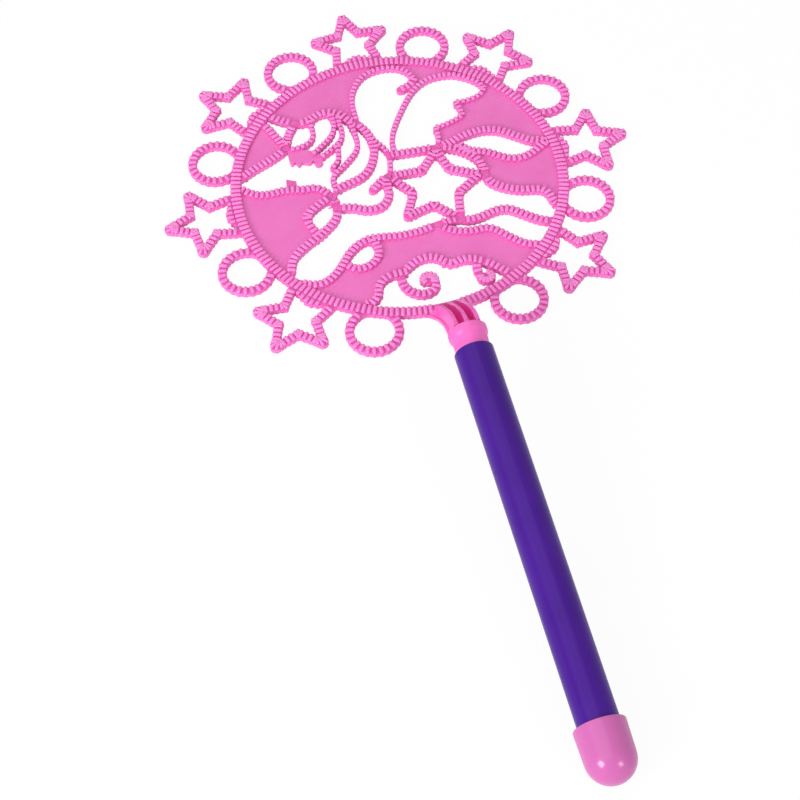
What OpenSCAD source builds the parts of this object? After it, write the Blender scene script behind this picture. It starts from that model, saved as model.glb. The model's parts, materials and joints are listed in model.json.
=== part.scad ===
// Bubble wand: a flat openwork head of ribbed bars, a raised neck, a plain tube handle and a domed end cap.
// The head lies flat on z = 0, the handle points along -Y, and the end cap rests on the same surface.

/* [Rim] */
// Inner radius of the rim, which the openwork figure fills
rim_in_r = 85; // [76:1:95]
// Radial width of the rim
rim_w = 5.5; // [4:0.5:8]
// Thickness of the head, ribs included
head_h = 4.5; // [3.6:0.1:6]

/* [Loops and stars] */
// Width of the bars of the loops, stars and figure
bar_w = 4.2; // [3.4:0.1:5]
// Mean radius of each round loop
loop_r = 12.7; // [10:0.1:14]
// How far the centre of a round loop stands out from the rim's outer edge
loop_out = 9.5; // [8:0.5:12]
// Mean radius of a star's five tips
star_tip_r = 21; // [18:0.2:22]
// Mean radius of the five notches between a star's tips
star_notch_r = 10; // [8:0.2:12]
// Mean radius of the notch that faces the rim
star_foot_r = 12.4; // [11:0.2:13]
// How far a star's two lower tips sink into the rim
star_sink = 2.5; // [1.5:0.1:3.5]

/* [Ribs] */
// Height of the ribs that hold the bubble film
rib_h = 1.1; // [0.6:0.1:1.4]
// How far a rib stands out past each side of its bar
rib_lip = 0.3; // [0.1:0.1:0.6]
// Width of one rib
rib_w = 1.5; // [0.8:0.1:1.8]
// Distance from one rib to the next along a bar
rib_pitch = 2.8; // [2.4:0.1:4]

/* [Figure] */
// Width of the thin strands of the mane and the wing
fine_w = 2.4; // [2:0.1:3.4]
// Thickness of the recessed panels
panel_t = 1.6; // [1.2:0.1:2.4]
// Radius of the moulded fillets where strands meet
fillet_r = 0.8; // [0.4:0.1:1.2]

/* [Neck] */
// Height of the handle's axis at the tube's mouth
mouth_z = 30.8; // [26:0.2:36]
// Distance from the rim's outer edge to the tube's mouth
neck_len = 46.3; // [42:0.1:54]
// Half the width of the neck's web
neck_half_w = 8.5; // [7.5:0.1:9.5]
// Radius of the flare where the neck's web meets the rim
flare_r = 5; // [3:0.5:7]
// Distance between the neck's upright ribs
neck_gap = 5.5; // [4.5:0.1:6.5]
// Thickness of the neck's upright ribs
neck_rib_t = 2; // [1.6:0.1:2.6]
// Thickness of the web between the neck's ribs
neck_web_t = 2.4; // [1.8:0.1:3]
// How far the outer ribs' crests stand above the sloping flanks outside them
neck_crest = 0.8; // [0.4:0.1:1.5]

/* [Handle tube] */
// Outer radius of the tube
tube_r = 9.8; // [8.5:0.1:11]
// Wall thickness of the tube
tube_wall = 1.25; // [1:0.05:2]
// Length of tube that shows between the mouth and the end cap
tube_show = 193; // [150:1:240]

/* [Collar and spigot] */
// Outer radius of the collar
collar_r = 9.8; // [9:0.1:10.5]
// Length of the collar, its taper included
collar_t = 5.6; // [4.6:0.2:9]
// Length of the collar's taper down to the spigot
collar_taper = 2.4; // [1:0.2:3]
// Chamfer of the collar's top edge
collar_edge = 0.4; // [0.2:0.1:1.2]
// Length of spigot that shows between the collar and the tube
spigot_show = 6.4; // [3:0.2:8]
// Length of spigot inside the tube
spigot_in = 18; // [12:0.5:24]
// Wall thickness of the hollow spigot
spigot_wall = 2; // [1.5:0.1:2.5]

/* [End cap] */
// Outer radius of the cap at its open rim
cap_rim_r = 12.2; // [12:0.1:13.5]
// Radius of the cap's domed end
dome_r = 11.8; // [11.4:0.1:12]
// Length of the cap from its rim to the start of its dome
cap_skirt = 15.2; // [13:0.2:20]
// Length of tube inside the cap
cap_grip = 14; // [10:0.5:14.5]

/* [Fits] */
// Radial clearance of the spigot in the tube and of the tube in the cap
fit_gap = 0.05; // [0.02:0.01:0.1]

/* [Hidden] */
// The loops and stars take turns round the rim, and the handle takes one star's place.
positions = 16;
loop_count = 8;
star_count = 7;
step_deg = 360 / positions;
handle_deg = -90;
rim_ribs = 192;
loop_ribs = 24;
star_points = 5;

// Nodes that are one moulding on the real wand stop this far short of each other.
seam = 0.02;
// What is narrower than twice this is left out of the bars and ribs.
scrap = rib_w * 0.3;
// Cuts run this far past the surface that they open.
over = 1;

rim_out_r = rim_in_r + rim_w;
core_h = head_h - rib_h;
loop_pitch_r = rim_out_r + loop_out;
star_pitch_r = rim_out_r + star_tip_r * cos(180 / star_points) - star_sink;
head_reach = star_pitch_r + star_tip_r + bar_w / 2;

// Steps between two points of a smooth centre line, and facets of a strand's round end.
curve_steps = 3;
end_facets = 12;

// The figure's pieces, in the order in which one gives way to the next, and the panels between them.
figure_names = ["horn", "mane", "throat", "wing", "brow", "jaw", "chest", "belly", "tail", "thigh",
    "hock", "shank", "cloud", "medal"];
panel_names = ["panel_sky", "panel_brow", "panel_chest", "panel_ground", "panel_feather",
    "panel_back", "panel_flank", "panel_forelock"];

// Centre lines of the figure, a winged unicorn over clouds, as shares of the rim's inner radius.
// Each strand is [width, points]: width 1 is a full bar and width 0 a fine strand.
full = 1;
fine = 0;

horn_front_shares = [[-0.74, 0.70], [-0.70, 0.64], [-0.68, 0.58], [-0.655, 0.52], [-0.635, 0.455]];
horn_back_shares = [[-0.69, 0.76], [-0.62, 0.70], [-0.57, 0.665], [-0.52, 0.64]];
horn_base_shares = [[-0.53, 0.635], [-0.58, 0.57], [-0.61, 0.51], [-0.635, 0.45]];

brow_shares = [[-0.63, 0.445], [-0.69, 0.41], [-0.75, 0.38], [-0.81, 0.355], [-0.87, 0.33],
    [-0.93, 0.30], [-1.01, 0.26]];
jaw_shares = [[-1.01, 0.21], [-0.955, 0.165], [-0.91, 0.13], [-0.86, 0.11], [-0.80, 0.105],
    [-0.73, 0.11], [-0.66, 0.10], [-0.60, 0.085], [-0.54, 0.08], [-0.50, 0.06], [-0.47, 0.025],
    [-0.44, -0.02]];
eye_shares = [[-0.70, 0.11], [-0.69, 0.195], [-0.63, 0.165], [-0.64, 0.09]];

forelock_shares = [[-0.626, 0.429], [-0.628, 0.394], [-0.631, 0.355], [-0.629, 0.324],
    [-0.617, 0.315], [-0.603, 0.327], [-0.595, 0.333], [-0.591, 0.314], [-0.581, 0.296],
    [-0.566, 0.303], [-0.557, 0.317], [-0.534, 0.307], [-0.511, 0.295], [-0.493, 0.305],
    [-0.484, 0.314], [-0.481, 0.296], [-0.477, 0.274], [-0.462, 0.264], [-0.441, 0.267],
    [-0.427, 0.281], [-0.42, 0.32], [-0.43, 0.35], [-0.449, 0.375], [-0.471, 0.39], [-0.504, 0.41],
    [-0.542, 0.42], [-0.574, 0.425], [-0.605, 0.43]];

crest_shares = [[-0.53, 0.64], [-0.48, 0.635], [-0.43, 0.64], [-0.39, 0.665], [-0.34, 0.68],
    [-0.29, 0.67], [-0.24, 0.64], [-0.205, 0.60], [-0.175, 0.56], [-0.135, 0.53]];
lock_1_shares = [[-0.43, 0.64], [-0.43, 0.56], [-0.44, 0.505], [-0.47, 0.46], [-0.53, 0.435],
    [-0.59, 0.43], [-0.64, 0.44]];
lock_2_shares = [[-0.29, 0.66], [-0.285, 0.58], [-0.305, 0.51], [-0.34, 0.46], [-0.385, 0.422],
    [-0.435, 0.385], [-0.48, 0.355]];
lock_3_shares = [[-0.245, 0.63], [-0.25, 0.56], [-0.25, 0.50], [-0.265, 0.445], [-0.295, 0.40],
    [-0.345, 0.365], [-0.39, 0.34], [-0.43, 0.315]];
lock_3_end_shares = [[-0.305, 0.39], [-0.315, 0.33], [-0.33, 0.27], [-0.355, 0.235], [-0.385, 0.21]];
lock_4_shares = [[-0.185, 0.56], [-0.18, 0.50], [-0.175, 0.42], [-0.185, 0.35], [-0.21, 0.30],
    [-0.25, 0.26], [-0.295, 0.22], [-0.34, 0.185], [-0.38, 0.155], [-0.405, 0.11], [-0.40, 0.05],
    [-0.42, 0.00], [-0.44, -0.05]];
lock_5_shares = [[-0.135, 0.52], [-0.105, 0.46], [-0.09, 0.41], [-0.085, 0.35], [-0.09, 0.29],
    [-0.11, 0.23], [-0.14, 0.17], [-0.18, 0.12], [-0.23, 0.085], [-0.29, 0.065], [-0.35, 0.05],
    [-0.40, 0.035]];
nape_shares = [[-0.085, 0.39], [-0.055, 0.33], [-0.025, 0.28], [-0.015, 0.22], [-0.02, 0.16],
    [-0.035, 0.10], [-0.055, 0.05]];
throat_shares = [[-0.44, -0.11], [-0.39, -0.125], [-0.33, -0.14], [-0.28, -0.17], [-0.22, -0.185],
    [-0.16, -0.175], [-0.115, -0.135], [-0.09, -0.08], [-0.088, -0.02], [-0.075, 0.03]];
hook_shares = [[-0.06, 0.05], [-0.10, 0.03], [-0.14, 0.00], [-0.185, -0.03]];

chest_top_shares = [[-0.44, -0.02], [-0.50, -0.04], [-0.55, -0.065], [-0.60, -0.10], [-0.635, -0.14]];
chest_front_shares = [[-0.635, -0.13], [-0.635, -0.18], [-0.62, -0.24], [-0.59, -0.30]];
chest_back_shares = [[-0.44, -0.02], [-0.435, -0.09], [-0.445, -0.16], [-0.475, -0.21],
    [-0.52, -0.25], [-0.57, -0.285], [-0.62, -0.315], [-0.68, -0.35], [-0.74, -0.39],
    [-0.785, -0.43], [-0.81, -0.48], [-0.83, -0.54], [-0.86, -0.59]];

belly_shares = [[-0.84, -0.60], [-0.78, -0.635], [-0.72, -0.66], [-0.66, -0.665], [-0.60, -0.64],
    [-0.55, -0.60], [-0.50, -0.545], [-0.45, -0.485], [-0.40, -0.445], [-0.35, -0.42],
    [-0.29, -0.41], [-0.22, -0.415], [-0.14, -0.43], [-0.06, -0.435], [0.02, -0.43],
    [0.10, -0.415], [0.17, -0.405], [0.23, -0.40], [0.29, -0.405]];
knee_shares = [[-0.29, -0.41], [-0.27, -0.48], [-0.28, -0.54], [-0.32, -0.59], [-0.38, -0.615],
    [-0.44, -0.61], [-0.485, -0.57]];

wing_edge_shares = [[-0.135, 0.53], [-0.135, 0.60], [-0.13, 0.68], [-0.115, 0.76], [-0.085, 0.83],
    [-0.045, 0.885], [0.00, 0.925], [0.06, 0.95], [0.13, 0.96], [0.20, 0.95], [0.26, 0.92],
    [0.30, 0.87], [0.315, 0.81]];
feather_tip_shares = [[0.32, 0.82], [0.29, 0.78], [0.245, 0.755], [0.205, 0.745]];
feather_shares = [[0.03, 0.24], [0.04, 0.33], [0.07, 0.41], [0.115, 0.49], [0.165, 0.565],
    [0.215, 0.635], [0.27, 0.70], [0.33, 0.75], [0.40, 0.785], [0.48, 0.795], [0.56, 0.785],
    [0.63, 0.75], [0.69, 0.70], [0.725, 0.65], [0.735, 0.60]];
quill_1_shares = [[0.735, 0.61], [0.705, 0.57], [0.65, 0.545], [0.58, 0.535], [0.52, 0.54]];
quill_2_shares = [[0.52, 0.54], [0.535, 0.48], [0.53, 0.41]];
quill_3_shares = [[0.53, 0.415], [0.47, 0.39], [0.40, 0.37], [0.335, 0.36]];
quill_4_shares = [[0.335, 0.36], [0.335, 0.30], [0.325, 0.25], [0.30, 0.20]];
wing_base_shares = [[-0.01, 0.22], [0.05, 0.215], [0.12, 0.21], [0.20, 0.205], [0.30, 0.20]];

rump_shares = [[0.30, 0.20], [0.38, 0.175], [0.44, 0.14], [0.49, 0.09], [0.525, 0.03],
    [0.535, -0.04], [0.53, -0.11]];
tail_top_shares = [[0.30, 0.20], [0.36, 0.205], [0.42, 0.225], [0.48, 0.25], [0.54, 0.26],
    [0.60, 0.265], [0.67, 0.255], [0.73, 0.23], [0.79, 0.185], [0.85, 0.135], [0.91, 0.09],
    [1.01, 0.055]];
tail_low_shares = [[0.44, 0.19], [0.475, 0.135], [0.52, 0.105], [0.57, 0.09], [0.62, 0.06],
    [0.67, 0.02], [0.73, -0.015], [0.80, -0.025], [0.86, -0.01], [0.92, 0.02], [1.01, 0.07]];

thigh_shares = [[0.53, -0.10], [0.545, -0.16], [0.59, -0.21], [0.65, -0.25], [0.72, -0.28],
    [0.79, -0.295], [0.845, -0.315], [0.875, -0.36], [0.885, -0.42], [0.92, -0.48]];
hock_shares = [[0.28, -0.405], [0.34, -0.425], [0.41, -0.42], [0.47, -0.405], [0.54, -0.395],
    [0.60, -0.41], [0.65, -0.45], [0.70, -0.495], [0.75, -0.535], [0.80, -0.56], [0.87, -0.57]];
shank_shares = [[0.13, -0.415], [0.19, -0.465], [0.26, -0.50], [0.34, -0.515], [0.41, -0.515],
    [0.46, -0.54], [0.51, -0.595], [0.56, -0.65], [0.61, -0.695], [0.67, -0.72], [0.75, -0.73]];

cloud_shares = [[-0.49, -0.90], [-0.41, -0.885], [-0.36, -0.84], [-0.34, -0.78], [-0.30, -0.735],
    [-0.24, -0.715], [-0.18, -0.71], [-0.13, -0.685], [-0.08, -0.655], [-0.02, -0.64],
    [0.04, -0.65], [0.09, -0.685], [0.13, -0.72], [0.19, -0.715], [0.25, -0.72], [0.31, -0.755],
    [0.365, -0.795], [0.41, -0.845], [0.47, -0.91]];
curl_big_shares = [[-0.185, -0.70], [-0.195, -0.77], [-0.18, -0.84], [-0.13, -0.89], [-0.07, -0.905],
    [-0.015, -0.88], [0.00, -0.83], [-0.015, -0.785], [-0.05, -0.775], [-0.065, -0.80]];
curl_small_shares = [[0.285, -0.74], [0.27, -0.80], [0.275, -0.86], [0.305, -0.90], [0.335, -0.885],
    [0.33, -0.86]];

// The star in the figure, tip and notch by turns, from the tip at the unicorn's back.
medal_shares = [[0.285, 0.18], [0.155, 0.04], [-0.06, 0.05], [0.055, -0.12], [-0.03, -0.295],
    [0.155, -0.25], [0.285, -0.40], [0.33, -0.195], [0.50, -0.085], [0.33, 0.01]];

// The strands of each piece of the figure but the last, the star.
figure = [
    ["horn", [[full, horn_front_shares], [full, horn_back_shares], [full, horn_base_shares]]],
    ["mane", [[full, crest_shares], [fine, lock_1_shares], [fine, lock_2_shares],
        [fine, lock_3_shares], [fine, lock_3_end_shares], [fine, lock_4_shares],
        [full, lock_5_shares], [fine, nape_shares]]],
    ["throat", [[full, throat_shares], [full, hook_shares]]],
    ["wing", [[fine, wing_edge_shares], [full, feather_tip_shares], [fine, feather_shares],
        [fine, quill_1_shares], [fine, quill_2_shares], [fine, quill_3_shares],
        [fine, quill_4_shares], [full, wing_base_shares]]],
    ["brow", [[full, brow_shares]]],
    ["jaw", [[full, jaw_shares]]],
    ["chest", [[full, chest_top_shares], [full, chest_front_shares], [full, chest_back_shares]]],
    ["belly", [[full, belly_shares], [full, knee_shares]]],
    ["tail", [[full, tail_top_shares], [full, rump_shares], [full, tail_low_shares]]],
    ["thigh", [[full, thigh_shares]]],
    ["hock", [[full, hock_shares]]],
    ["shank", [[full, shank_shares]]],
    ["cloud", [[full, cloud_shares], [full, curl_big_shares], [full, curl_small_shares]]]
];

// Vectors and centre lines
function reversed(p) = [for (i = [len(p) - 1:-1:0]) p[i]];
function scaled(p) = p * rim_in_r;
function at_angle(r, a) = [r * cos(a), r * sin(a)];
function position_deg(k) = handle_deg + k * step_deg;

// One point of the smooth curve through b and c, with a and d as their neighbours.
function spline_point(a, b, c, d, t) =
    (2 * b + (c - a) * t + (2 * a - 5 * b + 4 * c - d) * t * t
     + (3 * b - a - 3 * c + d) * t * t * t) / 2;

// A smooth centre line through all the points of a list.
function smooth(p) = concat([
    for (i = [0:len(p) - 2], s = [0:curve_steps - 1])
        spline_point(p[max(i - 1, 0)], p[i], p[i + 1], p[min(i + 2, len(p) - 1)], s / curve_steps)],
    [p[len(p) - 1]]);

function direction(p, i) =
    let (d = p[min(i + 1, len(p) - 1)] - p[max(i - 1, 0)]) d / norm(d);
function left_of(d) = [-d[1], d[0]];
function side_line(p, off) = [for (i = [0:len(p) - 1]) p[i] + off * left_of(direction(p, i))];

// The distance along a line to each of its points.
function run_lengths(p, i = 0, sum = 0) =
    i == len(p) - 1 ? [sum] : concat([sum], run_lengths(p, i + 1, sum + norm(p[i + 1] - p[i])));

// Evenly spaced stations along a line, each as [point, direction].
function stations(p, n) =
    let (runs = run_lengths(p), total = runs[len(p) - 1])
    [for (k = [0:n - 1])
        let (s = (k + 0.5) * total / n,
             i = max([for (j = [0:len(p) - 2]) runs[j] <= s ? j : 0]),
             d = p[i + 1] - p[i])
        [p[i] + d * (s - runs[i]) / norm(d), d / norm(d)]];
function whole_ribs(p) = let (runs = run_lengths(p)) max(1, round(runs[len(p) - 1] / rib_pitch));

function strand_w(kind) = kind == full ? bar_w : fine_w;

// Plan of one bar along a line, with round ends.
module bar_plan(p, w) {
    polygon(concat(side_line(p, w / 2), reversed(side_line(p, -w / 2))));
    for (e = [p[0], p[len(p) - 1]])
        translate(e) circle(d = w, $fn = end_facets);
}

// Plan of the ribs that cross one bar.
module rib_plan(p, w, n) {
    for (s = stations(p, n))
        translate(s[0]) rotate(atan2(s[1][1], s[1][0])) square([rib_w, w + 2 * rib_lip], center = true);
}

// Bars and ribs along straight sides, such as those of a star.
module corner_bars(p, w) {
    for (i = [0:len(p) - 2]) bar_plan([p[i], p[i + 1]], w);
}
module corner_ribs(p, w) {
    for (i = [0:len(p) - 2]) rib_plan([p[i], p[i + 1]], w, whole_ribs([p[i], p[i + 1]]));
}

// A plan with small moulded fillets in its corners.
module filleted() {
    offset(r = -fillet_r, $fn = end_facets) offset(delta = fillet_r) children();
}

// The head's two layers: the bars, and the ribs that stand on them, without thin scraps.
module without_scraps() {
    offset(delta = scrap) offset(delta = -scrap) children();
}
module layered() {
    linear_extrude(core_h) without_scraps() children(0);
    translate([0, 0, core_h]) linear_extrude(rib_h) without_scraps() children(1);
}

// Everything inside the rim, and everything outside it.
module inside_rim(gap) {
    intersection() {
        children();
        circle(rim_in_r - gap, $fn = rim_ribs);
    }
}
module outside_rim(gap) {
    difference() {
        children();
        circle(rim_out_r + gap, $fn = rim_ribs);
    }
}

// Rim: its ribs stop where the neck's ribs cross it.
module radial_ribs(r_in, r_out, reach_deg, gap_deg) {
    for (k = [0:rim_ribs - 1])
        let (a = (k + 0.5) * 360 / rim_ribs, away = min(a, 360 - a))
            if (away < reach_deg && away > gap_deg)
                rotate(a) translate([r_in, -rib_w / 2]) square([r_out - r_in, rib_w]);
}
neck_reach_deg = atan2(neck_gap + neck_rib_t, rim_in_r);
module rim() {
    color("hotpink") {
        linear_extrude(core_h) difference() {
            circle(rim_out_r, $fn = rim_ribs);
            circle(rim_in_r, $fn = rim_ribs);
        }
        translate([0, 0, core_h]) linear_extrude(rib_h) rotate(handle_deg)
            radial_ribs(rim_in_r - rib_lip, rim_out_r + rib_lip, 180, neck_reach_deg);
    }
}

// Round loops
loop_line = [for (i = [0:rim_ribs / 4]) at_angle(loop_r, i * 360 / (rim_ribs / 4))];
module loop(i) {
    a = position_deg(2 * i - 1);
    color("hotpink") layered() {
        outside_rim(seam) translate(at_angle(loop_pitch_r, a)) difference() {
            circle(loop_r + bar_w / 2, $fn = rim_ribs / 4);
            circle(loop_r - bar_w / 2, $fn = rim_ribs / 4);
        }
        outside_rim(rib_lip + seam) translate(at_angle(loop_pitch_r, a)) rotate(a)
            rib_plan(loop_line, bar_w, loop_ribs);
    }
}

// Stars: the notch that faces the rim is filled in, and the rim's ribs run out over it.
star_line = [for (i = [0:2 * star_points - 1])
    at_angle(i == star_points ? star_foot_r : i % 2 == 0 ? star_tip_r : star_notch_r,
        i * 180 / star_points)];
star_foot = [for (i = [-1:1]) star_line[star_points + i]];
star_arms = [for (i = [1:2 * star_points - 1]) star_line[(star_points + i) % (2 * star_points)]];
foot_reach_deg = 10;
module foot_plan() {
    corner_bars(star_foot, bar_w);
    polygon(star_foot);
}
module star(i) {
    a = position_deg(2 * i);
    rotate(a) color("hotpink") layered() {
        outside_rim(seam) translate([star_pitch_r, 0]) filleted() {
            corner_bars(star_arms, bar_w);
            foot_plan();
        }
        union() {
            outside_rim(rib_lip + seam) translate([star_pitch_r, 0]) difference() {
                corner_ribs(star_arms, bar_w);
                offset(delta = rib_lip) foot_plan();
            }
            intersection() {
                translate([star_pitch_r, 0]) offset(delta = rib_lip) foot_plan();
                radial_ribs(rim_out_r + rib_lip + seam, star_pitch_r, foot_reach_deg, -1);
            }
        }
    }
}

// Figure
medal_line = concat(scaled(medal_shares), [scaled(medal_shares[0])]);
module strands_plan(strands) {
    for (s = strands) bar_plan(smooth(scaled(s[1])), strand_w(s[0]));
}
module strands_ribs(strands) {
    for (s = strands)
        let (p = smooth(scaled(s[1]))) rib_plan(p, strand_w(s[0]), whole_ribs(p));
}
// One piece's own plan, before what it shares with others is taken away.
module piece_plan(i) {
    filleted() {
        if (i < len(figure)) strands_plan(figure[i][1]);
        else corner_bars(medal_line, bar_w);
        if (figure_names[i] == "jaw") polygon(scaled(eye_shares));
    }
}
module piece_ribs(i) {
    if (i < len(figure)) strands_ribs(figure[i][1]);
    else corner_ribs(medal_line, bar_w);
}
module figure_piece(i) {
    color("hotpink") layered() {
        inside_rim(seam) difference() {
            piece_plan(i);
            offset(delta = seam) for (j = [0:1:i - 1]) piece_plan(j);
        }
        inside_rim(rib_lip + seam) difference() {
            piece_ribs(i);
            offset(delta = rib_lip + seam) for (j = [0:len(figure)]) if (j != i) piece_plan(j);
        }
    }
}

// Panels: thin webs between the strands, halfway up the bars; the forelock reaches down to the floor.
beyond_share = 1.3;
panel_outlines = [
    concat(smooth(horn_back_shares), smooth(crest_shares), smooth([for (i = [0:7]) wing_edge_shares[i]]),
        [[0.06, beyond_share], [-0.69, beyond_share]]),
    concat(smooth(horn_front_shares), smooth(brow_shares),
        [[-beyond_share, 0.26], [-beyond_share, 0.70]]),
    concat(smooth(jaw_shares), smooth(chest_top_shares), smooth(chest_front_shares),
        smooth([for (i = [6:12]) chest_back_shares[i]]), [[-beyond_share, -0.59], [-beyond_share, 0.21]]),
    concat(smooth([for (i = [0:15]) belly_shares[i]]), smooth(shank_shares),
        [[0.75, -beyond_share], [0.47, -beyond_share]], reversed(smooth(cloud_shares)),
        [[-0.49, -beyond_share], [-0.84, -beyond_share]]),
    concat(smooth([for (i = [8:12]) wing_edge_shares[i]]), smooth([for (i = [7:12]) feather_shares[i]]),
        [[beyond_share, 0.70], [0.13, beyond_share]]),
    concat(smooth([for (i = [12:14]) feather_shares[i]]), smooth(quill_1_shares), smooth(quill_2_shares),
        smooth(quill_3_shares), smooth(quill_4_shares), smooth(tail_top_shares),
        [[beyond_share, 0.055], [beyond_share, 0.70]]),
    concat(reversed(smooth(tail_low_shares)), smooth([for (i = [3:6]) rump_shares[i]]),
        smooth(thigh_shares), [[beyond_share, -0.48], [beyond_share, 0.07]]),
    forelock_shares
];
// The ground panel goes round the hole inside the unicorn's bent knee.
knee_hole = concat(smooth(knee_shares), smooth([for (i = [6:10]) belly_shares[i]]));
panel_low = (core_h - panel_t) / 2;
module panel(i) {
    low = panel_names[i] == "panel_forelock" ? 0 : panel_low;
    color("violet") translate([0, 0, low]) linear_extrude(panel_low + panel_t - low)
        offset(delta = -seam) inside_rim(seam) difference() {
            polygon(scaled(panel_outlines[i]));
            if (panel_names[i] == "panel_ground") polygon(scaled(knee_hole));
            for (j = [0:len(figure)]) piece_plan(j);
        }
}

// Handle axis: it runs down from the neck until the cap's dome rests on the floor.
mouth_y = -(rim_out_r + neck_len);
dome_at = tube_show + cap_skirt;
tilt = asin((mouth_z - dome_r) / dome_at);
cap_end_y = mouth_y - dome_at * cos(tilt) - dome_r;
// The origin lies under the middle of the whole wand.
origin_y = (head_reach + cap_end_y) / 2;

// On the handle z is 0 at the tube's mouth and grows towards the head.
module on_handle() {
    translate([0, mouth_y, mouth_z]) rotate([tilt - 90, 0, 0]) children();
}
tube_in_r = tube_r - tube_wall;
module handle_tube() {
    color("rebeccapurple") on_handle() translate([0, 0, -tube_show - cap_grip]) difference() {
        cylinder(r = tube_r, h = tube_show + cap_grip, $fn = 96);
        translate([0, 0, -over]) cylinder(r = tube_in_r, h = tube_show + cap_grip + 2 * over, $fn = 96);
    }
}
spigot_r = tube_in_r - fit_gap;
module spigot() {
    color("hotpink") on_handle() translate([0, 0, -spigot_in]) difference() {
        cylinder(r = spigot_r, h = spigot_in + spigot_show - seam, $fn = 96);
        translate([0, 0, -over]) cylinder(r = spigot_r - spigot_wall, h = spigot_in + over, $fn = 96);
    }
}
module collar() {
    color("hotpink") on_handle() translate([0, 0, spigot_show]) rotate_extrude($fn = 96)
        polygon([[0, 0], [spigot_r, 0], [collar_r, collar_taper], [collar_r, collar_t - collar_edge],
            [collar_r - collar_edge, collar_t], [0, collar_t]]);
}

// End cap: a thin shell whose socket holds the tube's end
socket_r = tube_r + fit_gap;
module end_cap() {
    color("orchid") on_handle() translate([0, 0, -tube_show]) difference() {
        union() {
            translate([0, 0, -cap_skirt]) cylinder(r1 = dome_r, r2 = cap_rim_r, h = cap_skirt, $fn = 96);
            translate([0, 0, -cap_skirt]) sphere(r = dome_r, $fn = 96);
        }
        translate([0, 0, -cap_grip]) cylinder(r = socket_r, h = cap_grip + over, $fn = 96);
        translate([0, 0, -cap_skirt]) cylinder(r = tube_in_r, h = cap_skirt, $fn = 96);
        translate([0, 0, -cap_skirt]) sphere(r = tube_in_r, $fn = 96);
    }
}

// Neck: three upright ribs on a web climb from the rim to the collar.
// Points are [share of the run from the rim to the collar, share of the climb to its centre].
web_shares = [[-0.10, 0.10], [0, 0.12], [0.08, 0.15], [0.16, 0.23], [0.30, 0.40], [0.52, 0.63],
    [0.68, 0.77], [0.84, 0.86], [1, 0.90]];
crown_shares = [[-0.14, 0.14], [0, 0.32], [0.17, 0.52], [0.33, 0.715], [0.50, 0.90], [0.62, 1.02],
    [0.72, 1.105], [0.82, 1.17], [0.92, 1.215], [1, 1.23]];
collar_at = spigot_show + collar_t;
collar_y = mouth_y + collar_at * cos(tilt);
collar_z = mouth_z + collar_at * sin(tilt);
function on_neck(p) = [for (q = p) [-rim_out_r + q[0] * (collar_y + rim_out_r), q[1] * collar_z]];
web_line = on_neck(smooth(web_shares));
crown_line = on_neck(smooth(crown_shares));

// Takes away what lies in the rim, in its ribs' layer or past the collar's face.
module clear_of_neighbours() {
    difference() {
        children();
        cylinder(r = rim_out_r + seam, h = core_h + seam, $fn = rim_ribs);
        on_handle() translate([0, 0, spigot_show + collar_t / 2])
            cylinder(r = collar_r * 2, h = collar_t / 2 + seam);
    }
}
module side_extrude(w) {
    rotate([90, 0, 90]) linear_extrude(w, center = true) children();
}
module neck_rib(x) {
    color("hotpink") clear_of_neighbours() translate([x, 0, 0]) side_extrude(neck_rib_t)
        polygon(concat(crown_line, reversed([for (q = web_line) q + [0, seam]])));
}
// Outside each outer rib a flank slopes from below its crest to the web's edge, flare included.
flare_y = -rim_out_r - flare_r;
flank_x = neck_gap + neck_rib_t / 2 + seam;
function web_edge_x(y) =
    y < flare_y ? neck_half_w : neck_half_w + flare_r - sqrt(flare_r * flare_r - pow(y - flare_y, 2));
function flank_section(y) =
    let (low = lookup(y, web_line) + seam, high = lookup(y, crown_line) - neck_crest)
    [[flank_x, y, low], [flank_x, y, high], [web_edge_x(y), y, low]];
// Where the collar's face is, at a height on the neck.
function face_y(z) = mouth_y + (collar_at + seam - (z - mouth_z) * sin(tilt)) / cos(tilt);
flank_start_y = -rim_out_r - rib_lip - seam;
flank_end_y = face_y(mouth_z) + collar_r * tan(tilt);
flank_ys = concat([flank_start_y],
    [for (q = web_line) if (q[0] < flank_start_y - seam && q[0] > flank_end_y + seam) q[0]]);
flank_points = concat([for (y = flank_ys) each flank_section(y)],
    [for (q = flank_section(flank_end_y)) [q[0], face_y(q[2]), q[2]]]);
module neck_flank() {
    last = 3 * len(flank_ys);
    color("hotpink") polyhedron(
        points = flank_points,
        faces = concat([[0, 1, 2], [last + 2, last + 1, last]],
            [for (i = [0:3:last - 3], j = [0:2])
                let (a = i + j, b = i + (j + 1) % 3) each [[b, a, a + 3], [b, a + 3, b + 3]]]));
}
module neck_web() {
    color("hotpink") clear_of_neighbours() intersection() {
        side_extrude(2 * (neck_half_w + flare_r))
            polygon(concat(web_line, reversed(side_line(web_line, neck_web_t))));
        linear_extrude(2 * mouth_z) difference() {
            polygon([[-neck_half_w - flare_r, -rim_in_r], [neck_half_w + flare_r, -rim_in_r],
                [neck_half_w + flare_r, -rim_out_r - flare_r], [neck_half_w, -rim_out_r - flare_r],
                [neck_half_w, collar_y - over], [-neck_half_w, collar_y - over],
                [-neck_half_w, -rim_out_r - flare_r], [-neck_half_w - flare_r, -rim_out_r - flare_r]]);
            for (side = [-1, 1])
                translate([side * (neck_half_w + flare_r), -rim_out_r - flare_r]) circle(flare_r, $fn = 48);
        }
    }
}

// Everything is drawn about the head's centre and then moved to the origin.
module placed() {
    translate([0, -origin_y, 0]) children();
}

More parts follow.
